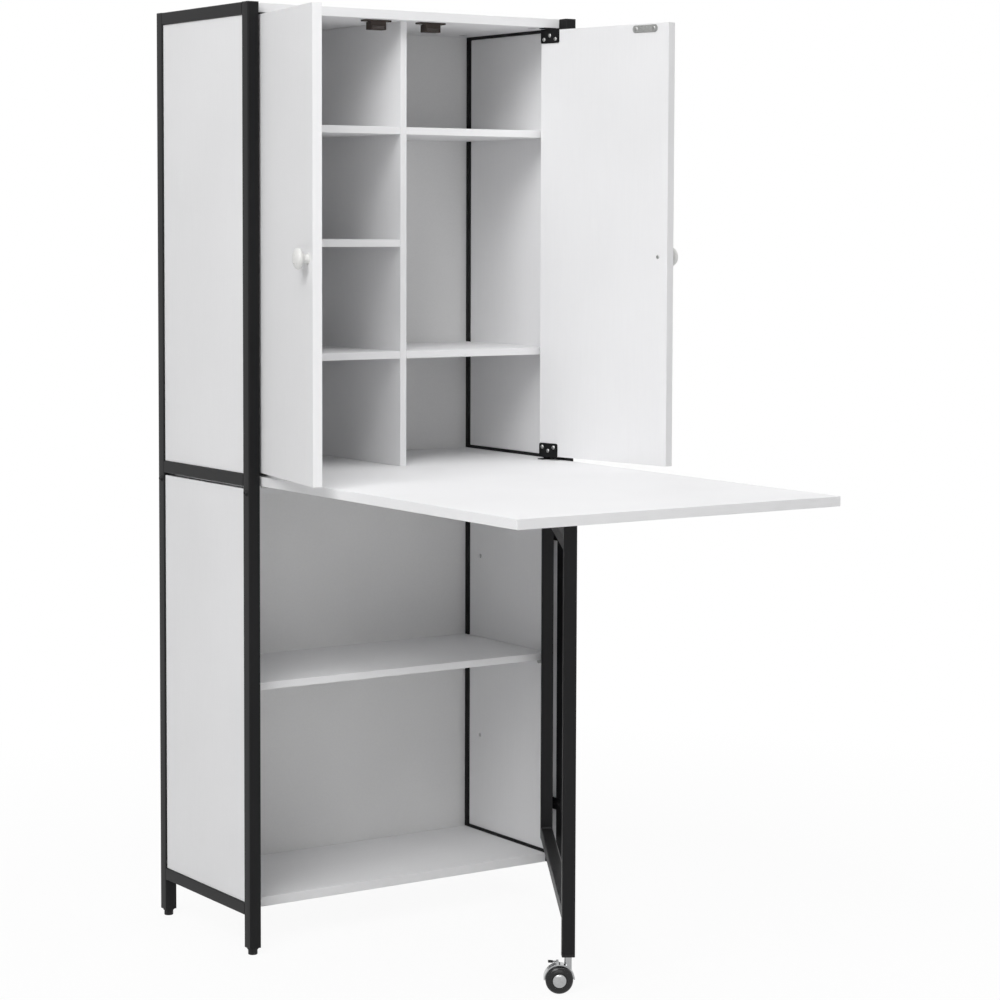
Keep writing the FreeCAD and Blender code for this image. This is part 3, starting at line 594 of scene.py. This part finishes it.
@dataclass
class SideFrames:
    """The welded tube frames of both sides, with their caps, glides and joining bolts, in millimetres."""

    tube: float = 20.0
    tube_edge: float = 0.35
    cap_edge: float = 1.0
    glide_radius: float = 7.5
    glide_round: float = 1.0
    glide_collar: float = 9.0
    collar_round: float = 0.6
    glide_height: float = 11.0
    glide_collar_height: float = 2.5
    bolt_sunk: float = 0.1
    weld_inset: float = 3.0
    weld: WeldKind = WeldKind()

    def build(self) -> None:
        """Builds and dresses the frames."""
        frames = [f"{side}_{level}_frame" for side in ("left", "right") for level in ("upper", "lower")]
        soft_copies(frames, POWDER_COAT, "cabinet", self.tube_edge)
        soft_copies(["post_caps"], CAP_PLASTIC, "cabinet", self.cap_edge)
        soft_copies(["frame_joiners"], ZINC, "cabinet", self.tube_edge)
        self.glides()
        self.bolts()
        self.weld.lay("frame_welds", self.seams(), "cabinet")

    def post_centres(self) -> list[Vector]:
        """Returns the middle of each post, at floor level."""
        low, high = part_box("left_lower_frame")
        half = self.tube * MM / 2
        ys = (low.y + half, high.y - half)
        return [Vector((side.value * -(low.x + half), y, 0)) for side in Side for y in ys]

    def glides(self) -> None:
        """Turns the glides under the posts."""
        shoulder = self.glide_height - self.glide_collar_height
        foot, rim = self.glide_round, self.collar_round
        profile = [(0, 0), (self.glide_radius - foot, 0)]
        profile += quarter((self.glide_radius - foot, foot), (foot, foot), -90, 0, 4)
        profile += [(self.glide_radius, shoulder), (self.glide_collar - rim, shoulder)]
        profile += quarter((self.glide_collar - rim, shoulder + rim), (rim, rim), -90, 0, 3)
        profile += [(self.glide_collar, self.glide_height), (0, self.glide_height)]
        mesh = bmesh.new()
        for centre in self.post_centres():
            add_turning(mesh, profile, centre, UP)
        make_piece("foot_glides_dressed", mesh, CAP_PLASTIC, "cabinet", ["foot_glides"])

    def bolts(self) -> None:
        """Sets the button-head bolts that join the upper and lower frames."""
        low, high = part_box("joiner_bolts")
        height = (low.z + high.z) / 2
        spots = []
        for centre in self.post_centres():
            way = Vector((math.copysign(1, centre.x), 0, 0))
            face = centre + way * (self.tube / 2 - self.bolt_sunk) * MM
            spots.append((Vector((face.x, face.y, height)), way))
        BUTTON_BOLT.set_on("joiner_bolts_dressed", spots, "cabinet", ["joiner_bolts"])

    def seams(self) -> list[tuple[Vector, Vector]]:
        """Returns the weld seams where the rails meet the posts."""
        seams = []
        inset = self.weld_inset * MM
        tube = self.tube * MM
        low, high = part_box("left_upper_frame")
        rails = (high.z - tube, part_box("left_lower_panel")[0].z - tube)
        for side in Side:
            outer = side.value * -low.x
            for rail_z in rails:
                for y in (low.y + tube, high.y - tube):
                    xs = [outer - side.value * d for d in (inset, tube - inset)]
                    seams.append(tuple(Vector((x, y, rail_z)) for x in xs))
        return seams


@dataclass
class Boards:
    """The white boards of the cabinet, with softened edges and pores along their length.

    Sizes are in millimetres. The rows of screws near an edge are measured from it.
    """

    edge: float = 0.7
    back_edge: float = 0.4
    metal_edge: float = 0.25
    dowel_edge: float = 0.3
    screw_pitch: float = 118.0
    screw_inset: float = 24.0
    top_row: float = 6.0
    seam_row: float = 4.0
    floor_row: float = 7.0

    def build(self) -> None:
        """Builds and dresses the boards."""
        sides = [f"{side}_{level}_panel" for side in ("left", "right") for level in ("upper", "lower")]
        soft_copies(sides + ["divider"], laminate(Grain.UPRIGHT), "cabinet", self.edge)
        shelves = [f"left_shelf_{level}" for level in ("low", "mid", "high")]
        shelves += [f"right_shelf_{level}" for level in ("low", "high")]
        flats = ["top_panel", "table_panel", "bottom_panel", "rear_rail", "lower_shelf"]
        soft_copies(shelves + flats, laminate(Grain.ACROSS), "cabinet", self.edge)
        soft_copies(["upper_back_panel", "lower_back_panel"], BACK_FACE, "cabinet", self.back_edge)
        soft_copies(["cam_locks", "cam_bolts", "shelf_pins"], ZINC, "cabinet", self.metal_edge)
        soft_copies(["shelf_dowels"], BEECH, "cabinet", self.dowel_edge)
        self.back_screws()

    def back_screws(self) -> None:
        """Sets the screws that hold the backs to the boards in front of them."""
        low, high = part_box("upper_back_panel")
        boards = [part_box(name) for name in ("left_shelf_low", "left_shelf_high", "rear_rail")]
        rows = [(under.z + over.z) / 2 for under, over in boards]
        rows += [high.z - self.top_row * MM, low.z + self.seam_row * MM]
        rows.append(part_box("bottom_panel")[0].z + self.floor_row * MM)
        start = low.x + self.screw_inset * MM
        run = high.x - low.x - 2 * self.screw_inset * MM
        count = round(run / (self.screw_pitch * MM))
        places = [Vector((start + run / count * n, high.y, z)) for z in rows for n in range(count + 1)]
        PAN_SCREW.set_on("back_screws", [(place, BACKWARD) for place in places], "cabinet")


@dataclass(frozen=True)
class LeafHinge:
    """Where the screws sit in either side of the leaf's hinges, in millimetres."""

    half: float = 25.0
    sheet: float = 1.2
    screw_inset: float = 9.0
    screw_spread: float = 16.0

    def screw(self, side: Side, way: int, high: Vector, y: float) -> Vector:
        """Places one screw of a hinge plate.

        Args:
            side: The side that the hinge is on.
            way: Which of the plate's two screws, as the sign of X.
            high: The upper corner of the box round both sides' plates.
            y: The depth of the row of screws, in metres.

        Returns:
            The point under the plate.
        """
        x = side.value * (high.x - self.half * MM) + way * self.screw_spread * MM
        return Vector((x, y, high.z - self.sheet * MM))


LEAF_HINGE = LeafHinge()


@dataclass
class Fittings:
    """The small fittings that stay with the cabinet, in millimetres."""

    edge: float = 0.3
    catch_edge: float = 0.8
    catch_across: float = 52.0
    flange_sheet: float = 3.0
    flange_screw: float = 19.5
    pivot_screw: float = 4.5
    pivot_sheet: float = 1.5
    pivot_plate: float = 24.0
    bracket_half: float = 10.0
    bracket_sheet: float = 2.0
    bracket_screws: tuple[float, float] = (7.0, 19.0)

    def build(self) -> None:
        """Builds and dresses the fittings."""
        soft_copies(["pivot_plates", "gate_hinge_brackets"], POWDER_COAT, "cabinet", self.edge)
        soft_copies(["leaf_hinge_fixed"], ZINC, "cabinet", self.edge)
        soft_copies(["catch_magnets"], MAGNET, "cabinet", self.edge)
        soft_copies(["catch_housings"], CATCH_NYLON, "cabinet", self.catch_edge)
        PAN_SCREW.set_on("fitting_screws", self.zinc_spots(), "cabinet")
        FLAT_SCREW.set_on("pivot_screws", self.pivot_spots(), "cabinet")
        BLACK_SCREW.set_on("bracket_screws", self.bracket_spots(), "cabinet")

    def zinc_spots(self) -> list[tuple[Vector, Vector]]:
        """Returns the screws of the catches and of the fixed leaf hinges."""
        spots = []
        low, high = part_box("catch_housings")
        flange = high.z - self.flange_sheet * MM
        hinge_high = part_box("leaf_hinge_fixed")[1]
        for side in Side:
            for way in (-1, 1):
                x = (side.value * self.catch_across + way * self.flange_screw) * MM
                spots.append((Vector((x, (low.y + high.y) / 2, flange)), DOWN))
                y = hinge_high.y - LEAF_HINGE.screw_inset * MM
                spots.append((LEAF_HINGE.screw(side, way, hinge_high, y), DOWN))
        return spots

    def pivot_spots(self) -> list[tuple[Vector, Vector]]:
        """Returns the screws of the door pivots."""
        spots = []
        low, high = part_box("pivot_plates")
        middle = (low.y + high.y) / 2
        for side in Side:
            x = side.value * (high.x - (self.pivot_plate - self.pivot_screw) * MM)
            spots.append((Vector((x, middle, low.z + self.pivot_sheet * MM)), UP))
            spots.append((Vector((x, middle, high.z - self.pivot_sheet * MM)), DOWN))
        return spots

    def bracket_spots(self) -> list[tuple[Vector, Vector]]:
        """Returns the screws of the gate's brackets."""
        spots = []
        low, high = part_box("gate_hinge_brackets")
        face = high.x - self.bracket_sheet * MM
        for z in (low.z + self.bracket_half * MM, high.z - self.bracket_half * MM):
            for inset in self.bracket_screws:
                spots.append((Vector((face, low.y + inset * MM, z)), Vector((-1, 0, 0))))
        return spots


@dataclass
class Door:
    """One door with its hinge plates, strike plate and knob.

    Sizes are for the closed door, in millimetres, and the angle is in degrees. Across is measured from the
    pivot towards the free edge, and inward from the pivot towards the cabinet.
    """

    side: Side
    open_angle: float = 101.0
    edge: float = 0.7
    plate_edge: float = 0.3
    half_board: float = 7.5
    plate_sheet: float = 1.5
    plate_screws: tuple[tuple[float, float], ...] = ((-2.8, 15.5), (10.2, 9.3), (23.2, 15.5))
    strike_across: float = 224.0
    strike_drop: float = 8.0
    strike_sheet: float = 1.2
    strike_screw: float = 19.0
    knob_across: float = 254.0
    knob_neck: float = 7.2
    knob_flare: float = 1.4
    knob_cove: float = 3.0
    knob_radius: float = 16.0
    knob_shoulder: float = 11.4
    knob_round: float = 4.0
    knob_reach: float = 23.4
    knob_sides: int = 56

    def __post_init__(self) -> None:
        """Reads the hinge and the height of the board from the frame."""
        self.word = self.side.name.lower()
        joint = joint_named(self.word + "_door_hinge")
        self.pivot = Vector(joint["pos_m"])
        self.swing = Matrix.Rotation(math.radians(self.open_angle), 4, Vector(joint["axis"]))
        low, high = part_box(self.word + "_door")
        self.low = low.z
        self.high = high.z
        low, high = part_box(self.word + "_knob")
        self.knob_height = (low.z + high.z) / 2

    def place(self, across: float, inward: float, height: float) -> Vector:
        """Where a point of the closed door is with the door open.

        Args:
            across: From the pivot to the free edge, in millimetres.
            inward: From the pivot into the cabinet, in millimetres.
            height: Above the floor, in metres.

        Returns:
            The point in the frame.
        """
        arm = self.swing @ Vector((-self.side.value * across * MM, inward * MM, 0))
        return Vector((self.pivot.x + arm.x, self.pivot.y + arm.y, height))

    def inner_way(self) -> Vector:
        """Returns the direction that the door's inner face looks in."""
        return self.swing @ BACKWARD

    def build(self) -> None:
        """Builds and dresses the door."""
        body = self.word + "_door"
        soft_copies([body], laminate(Grain.UPRIGHT), body, self.edge)
        soft_copies([body + "_plates"], POWDER_COAT, body, self.plate_edge)
        soft_copies([self.word + "_strike"], ZINC, body, self.plate_edge)
        self.screws(body)
        self.knob(body)

    def screws(self, body: str) -> None:
        """Sets the screws of the hinge plates, the strike plate and the knob.

        Args:
            body: The door's body.
        """
        way = self.inner_way()
        face = self.half_board + self.plate_sheet
        plate = []
        for across, inset in self.plate_screws:
            plate.append((self.place(across, face, self.high - inset * MM), way))
            plate.append((self.place(across, face, self.low + inset * MM), way))
        PAN_SCREW.set_on(self.word + "_plate_screws", plate, body)
        face = self.half_board + self.strike_sheet
        height = self.high - self.strike_drop * MM
        strike = [(self.place(self.strike_across + sign * self.strike_screw, face, height), way)
                  for sign in (-1, 1)]
        PAN_SCREW.set_on(self.word + "_strike_screws", strike, body)
        spot = self.place(self.knob_across, self.half_board, self.knob_height)
        PAN_SCREW.set_on(self.word + "_knob_screw_dressed", [(spot, way)], body, [self.word + "_knob_screw"])

    def knob(self, body: str) -> None:
        """Turns the knob.

        Args:
            body: The door's body.
        """
        neck, shoulder = self.knob_neck, self.knob_shoulder
        flare, cove = self.knob_flare, self.knob_cove
        under = self.knob_radius - self.knob_round
        crown = shoulder + self.knob_round
        profile = [(0, 0), (neck + flare, 0)]
        profile += quarter((neck + flare, flare), (-flare, -flare), 90, 0, 3)
        profile += quarter((neck + cove, shoulder - cove), (-cove, cove), 0, 90, 5)
        profile += quarter((under, crown), (self.knob_round, self.knob_round), -90, 0, 6)
        profile += quarter((0, crown), (self.knob_radius, self.knob_reach - crown), 0, 90, 14)[1:-1]
        profile.append((0, self.knob_reach))
        mesh = bmesh.new()
        base = self.place(self.knob_across, -self.half_board, self.knob_height)
        add_turning(mesh, profile, base, -self.inner_way(), self.knob_sides)
        make_piece(self.word + "_knob_dressed", mesh, KNOB_LACQUER, body, [self.word + "_knob"])


@dataclass
class Leaf:
    """The drop leaf with its side of the hinges and its rest pad, in millimetres."""

    edge: float = 0.8
    hinge_edge: float = 0.3
    pad_edge: float = 1.2

    def build(self) -> None:
        """Builds and dresses the leaf."""
        soft_copies(["drop_leaf"], laminate(Grain.ACROSS), "leaf", self.edge)
        soft_copies(["leaf_hinge_moving"], ZINC, "leaf", self.hinge_edge)
        soft_copies(["leaf_pad"], CAP_PLASTIC, "leaf", self.pad_edge)
        low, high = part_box("leaf_hinge_moving")
        y = low.y + LEAF_HINGE.screw_inset * MM
        spots = [(LEAF_HINGE.screw(side, way, high, y), DOWN) for side in Side for way in (-1, 1)]
        PAN_SCREW.set_on("leaf_screws", spots, "leaf")


@dataclass
class GateLeg:
    """The swinging gate leg: two posts, two rails, hinge knuckles and end plugs.

    Outer and inner are the posts' middles from the hinge line in millimetres, and angle is the swing at rest
    in degrees.
    """

    tube: float = 20.0
    edge: float = 0.35
    plug_edge: float = 1.0
    outer: float = 556.0
    inner: float = 16.0
    angle: float = 58.5
    weld_inset: float = 3.0
    weld: WeldKind = WeldKind()

    def build(self) -> None:
        """Builds and dresses the gate."""
        tubes = ["gate_inner_post", "gate_outer_post", "gate_top_rail", "gate_bottom_rail"]
        soft_copies(tubes + ["gate_hinge_knuckles"], POWDER_COAT, "gate", self.edge)
        soft_copies(["gate_post_plugs"], CAP_PLASTIC, "gate", self.plug_edge)
        self.weld.lay("gate_welds", self.seams(), "gate")

    def seams(self) -> list[tuple[Vector, Vector]]:
        """Returns the weld seams where the rails meet the posts."""
        pivot = Vector(joint_named("gate_swing")["pos_m"])
        swing = Matrix.Rotation(math.radians(self.angle), 4, UP)
        half = self.tube / 2
        inset = half - self.weld_inset
        seams = []
        for rail in ("gate_top_rail", "gate_bottom_rail"):
            low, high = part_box(rail)
            for along in (self.inner + half, self.outer - half):
                for z in (low.z, high.z):
                    ends = [swing @ Vector((-along * MM, d * MM, 0)) for d in (-inset, inset)]
                    seams.append(tuple(Vector((pivot.x + e.x, pivot.y + e.y, z)) for e in ends))
        return seams


@dataclass
class Caster:
    """The twin-wheel caster with its hood, axle, hub caps and brake lever, in millimetres and degrees."""

    wheel: float = 21.0
    wheel_round: float = 1.0
    wheel_sides: int = 64
    width: float = 10.5
    inner: float = 3.5
    tread: float = 4.5
    tread_sweep: float = 84.0
    seat_groove: float = 0.5
    hub: float = 10.2
    hub_height: float = 2.2
    hub_rim: float = 0.5
    hub_step: float = 0.2
    hub_sides: int = 56
    edge: float = 0.4
    lever_lean: float = 3.52
    grip_reach: tuple[float, float] = (7.0, 14.2)
    grip_width: float = 6.6
    grip_half: float = 1.2
    grip_rib: float = 0.25
    grip_ribs: int = 4
    grip_edge: float = 0.12

    def build(self) -> None:
        """Builds and dresses the caster."""
        soft_copies(["caster_yoke", "caster_axle"], CHROME, "caster", self.edge)
        soft_copies(["caster_brake_lever"], CHROME, "brake_lever", self.edge)
        for word, way in (("near", -1), ("far", 1)):
            joint = joint_named(f"wheel_{word}_spin")
            outward = Vector(joint["axis"]).normalized() * way
            self.wheel_pair(word, Vector(joint["pos_m"]), outward)
        self.grip()

    def grip(self) -> None:
        """Slips a ribbed grip over the end of the brake lever."""
        joint = joint_named("brake_press")
        axis = Vector(joint["axis"]).normalized()
        level = UP.cross(axis)
        lean = math.radians(self.lever_lean)
        along = level * math.cos(lean) + UP * math.sin(lean)
        upward = UP * math.cos(lean) - level * math.sin(lean)
        start, end = self.grip_reach
        steps = 2 * self.grip_ribs
        step = (end - start) / steps
        top = [(start + step * n, self.grip_half + self.grip_rib * (n % 2)) for n in range(steps + 1)]
        outline = [(start, -self.grip_half), (end, -self.grip_half)] + top[::-1]
        mesh = bmesh.new()
        rows = []
        for across in (-self.grip_width / 2, self.grip_width / 2):
            base = Vector(joint["pos_m"]) + axis * across * MM
            rows.append([mesh.verts.new(base + (along * a + upward * u) * MM) for a, u in outline])
        count = len(outline)
        for n in range(count):
            m = (n + 1) % count
            mesh.faces.new([rows[0][n], rows[0][m], rows[1][m], rows[1][n]])
        mesh.faces.new(rows[0][::-1])
        mesh.faces.new(rows[1])
        bmesh.ops.recalc_face_normals(mesh, faces=mesh.faces)
        make_piece("brake_grip", mesh, CAP_PLASTIC, "brake_lever", edge=self.grip_edge)

    def wheel_pair(self, word: str, middle: Vector, outward: Vector) -> None:
        """Turns one wheel and its hub cap.

        Args:
            word: Near or far.
            middle: The middle of the axle.
            outward: The direction from the middle to the hub cap.
        """
        body = "wheel_" + word
        radius, width, groove, rounding = self.wheel, self.width, self.seat_groove, self.wheel_round
        profile = [(0, 0), (radius - rounding, 0)]
        profile += quarter((radius - rounding, rounding), (rounding, rounding), -90, 0, 3)
        crown = (radius - self.hub, width - self.tread)
        profile += quarter((self.hub, self.tread), crown, 0, self.tread_sweep, 12)
        profile += [(self.hub + groove, width - 2 * groove), (0, width - 2 * groove)]
        mesh = bmesh.new()
        add_turning(mesh, profile, middle + outward * self.inner * MM, outward, self.wheel_sides)
        make_piece(f"caster_wheel_{word}_dressed", mesh, WHEEL_PLASTIC, body, ["caster_wheel_" + word])
        rim = self.hub_rim
        cap = [(0, 0), (self.hub, 0), (self.hub, rim)]
        cap += quarter((0, rim), (self.hub - self.hub_step, self.hub_height - rim), 0, 90, 10)[:-1]
        cap.append((0, self.hub_height))
        mesh = bmesh.new()
        add_turning(mesh, cap, middle + outward * (self.inner + width) * MM, outward, self.hub_sides)
        make_piece(f"hub_cap_{word}_dressed", mesh, CHROME, body, ["hub_cap_" + word])


@dataclass(frozen=True)
class Lamp:
    """A soft square lamp. Places and sizes are in metres, power is in watts."""

    name: str
    at: tuple[float, float, float]
    to: tuple[float, float, float]
    size: float
    power: float

    def hang(self) -> None:
        """Hangs the lamp in the scene."""
        data = bpy.data.lights.new(self.name, "AREA")
        data.shape = "SQUARE"
        data.size = self.size
        data.energy = self.power
        obj = bpy.data.objects.new(self.name, data)
        obj.location = self.at
        obj.rotation_mode = "QUATERNION"
        obj.rotation_quaternion = (Vector(self.to) - Vector(self.at)).to_track_quat("-Z", "Y")
        bpy.context.scene.collection.objects.link(obj)


@dataclass
class Studio:
    """White floor and surround, soft lamps and the camera.

    Places and reaches are in metres, angles in degrees, the sensor in millimetres and the lens in pixels. The
    floor shows floor_glow of plain white near the part, and all of it past the shadow's reach.
    """

    lens_px: float = 2668.249
    image_px: float = 1000.0
    axis_px: tuple[float, float] = (500.0, 400.0)
    sensor: float = 36.0
    camera_at: tuple[float, float, float] = (-2.311185, -3.463813, 1.158051)
    yaw: float = 34.026
    pitch: float = 3.785
    roll: float = 0.194
    floor_size: float = 40.0
    floor_colour: str = "#f2f2f2"
    sky_light: float = 0.18
    floor_glow: float = 0.93
    shadow_reach: tuple[float, float] = (0.9, 2.0)
    lamps: tuple[Lamp, ...] = (
        Lamp("overhead", (0.3, -1.7, 6.0), (0.0, -0.1, 0.6), 4.6, 117.0),
        Lamp("far_left", (-4.2, -2.8, 4.9), (0.2, 0.0, 0.8), 3.4, 138.0),
        Lamp("high_left", (-1.9, -1.2, 3.0), (0.2, 0.0, 0.9), 2.0, 30.0),
        Lamp("front_left", (-2.6, -4.4, 1.7), (0.0, 0.0, 0.8), 2.4, 21.0),
        Lamp("right", (4.2, 0.6, 1.9), (0.0, 0.1, 0.8), 2.6, 34.0),
        Lamp("back", (1.6, 4.6, 2.4), (0.0, 0.2, 0.8), 2.6, 56.0),
    )

    def build(self) -> None:
        """Builds the stage, the lamps and the camera."""
        self.floor()
        self.surround()
        for lamp in self.lamps:
            lamp.hang()
        self.camera()
        bpy.context.scene.view_settings.view_transform = "Standard"

    def seen(self, tree: bpy.types.NodeTree) -> bpy.types.NodeSocket:
        """Marks the rays that show a background to the eye, directly or in a reflection.

        Args:
            tree: The tree that asks.

        Returns:
            A socket that is 1 for such rays.
        """
        path = add_node(tree, "ShaderNodeLightPath").outputs
        mirrored = add_node(tree, "ShaderNodeMath", {"operation": "MAXIMUM"},
                            {0: path["Is Glossy Ray"], 1: path["Is Transmission Ray"]})
        either = add_node(tree, "ShaderNodeMath", {"operation": "MAXIMUM"},
                          {0: path["Is Camera Ray"], 1: mirrored.outputs[0]})
        return either.outputs[0]

    def floor(self) -> None:
        """Lays the floor, which shows near white and keeps a faint shadow."""
        half = self.floor_size / 2
        data = bpy.data.meshes.new("floor")
        corners = [(-half, -half, 0), (half, -half, 0), (half, half, 0), (-half, half, 0)]
        data.from_pydata(corners, [], [(0, 1, 2, 3)])
        material = bpy.data.materials.new("studio_floor")
        material.use_nodes = True
        tree = material.node_tree
        tree.nodes.clear()
        matt = add_node(tree, "ShaderNodeBsdfDiffuse", {}, {"Color": linear(self.floor_colour)})
        glow = add_node(tree, "ShaderNodeEmission", {}, {"Color": WHITE, "Strength": 1.0})
        place = add_node(tree, "ShaderNodeTexCoord")
        away = add_node(tree, "ShaderNodeVectorMath", {"operation": "LENGTH"}, {0: place.outputs["Object"]})
        fade = add_node(tree, "ShaderNodeMapRange", {},
                        {"Value": away.outputs["Value"], "From Min": self.shadow_reach[0],
                         "From Max": self.shadow_reach[1], "To Min": self.floor_glow, "To Max": 1.0})
        share = add_node(tree, "ShaderNodeMath", {"operation": "MULTIPLY"},
                         {0: self.seen(tree), 1: fade.outputs[0]})
        mixed = add_node(tree, "ShaderNodeMixShader", {},
                         {0: share.outputs[0], 1: matt.outputs[0], 2: glow.outputs[0]})
        add_node(tree, "ShaderNodeOutputMaterial", {}, {"Surface": mixed.outputs[0]})
        data.materials.append(material)
        obj = bpy.data.objects.new("floor", data)
        bpy.context.scene.collection.objects.link(obj)

    def surround(self) -> None:
        """Sets the surround: white to the eye, and a soft light to the object."""
        world = bpy.data.worlds.new("studio")
        world.use_nodes = True
        tree = world.node_tree
        tree.nodes.clear()
        light = add_node(tree, "ShaderNodeBackground", {}, {"Color": WHITE, "Strength": self.sky_light})
        white = add_node(tree, "ShaderNodeBackground", {}, {"Color": WHITE, "Strength": 1.0})
        mixed = add_node(tree, "ShaderNodeMixShader", {},
                         {0: self.seen(tree), 1: light.outputs[0], 2: white.outputs[0]})
        add_node(tree, "ShaderNodeOutputWorld", {}, {"Surface": mixed.outputs[0]})
        bpy.context.scene.world = world

    def camera(self) -> None:
        """Sets the camera at the photograph's place and angle."""
        data = bpy.data.cameras.new("camera")
        data.sensor_width = self.sensor
        data.lens = self.sensor * self.lens_px / self.image_px
        data.shift_x = (self.image_px / 2 - self.axis_px[0]) / self.image_px
        data.shift_y = (self.axis_px[1] - self.image_px / 2) / self.image_px
        yaw, pitch = math.radians(self.yaw), math.radians(self.pitch)
        ahead = Vector((math.sin(yaw) * math.cos(pitch), math.cos(yaw) * math.cos(pitch), -math.sin(pitch)))
        right = Vector((math.cos(yaw), -math.sin(yaw), 0))
        upward = right.cross(ahead)
        turn = Matrix((right, upward, -ahead)).transposed() @ Matrix.Rotation(math.radians(self.roll), 3, "Z")
        obj = bpy.data.objects.new("camera", data)
        obj.matrix_world = Matrix.Translation(self.camera_at) @ turn.to_4x4()
        bpy.context.scene.collection.objects.link(obj)
        bpy.context.scene.camera = obj


def main() -> None:
    """Builds every sub-assembly in order, then the studio."""
    logging.basicConfig(level=logging.INFO, format="%(message)s")
    doors = [Door(side) for side in Side]
    for part in (SideFrames(), Boards(), Fittings(), *doors, Leaf(), GateLeg(), Caster()):
        LOG.info("building %s", type(part).__name__)
        part.build()
    Studio().build()


if __name__ == "__main__":
    main()
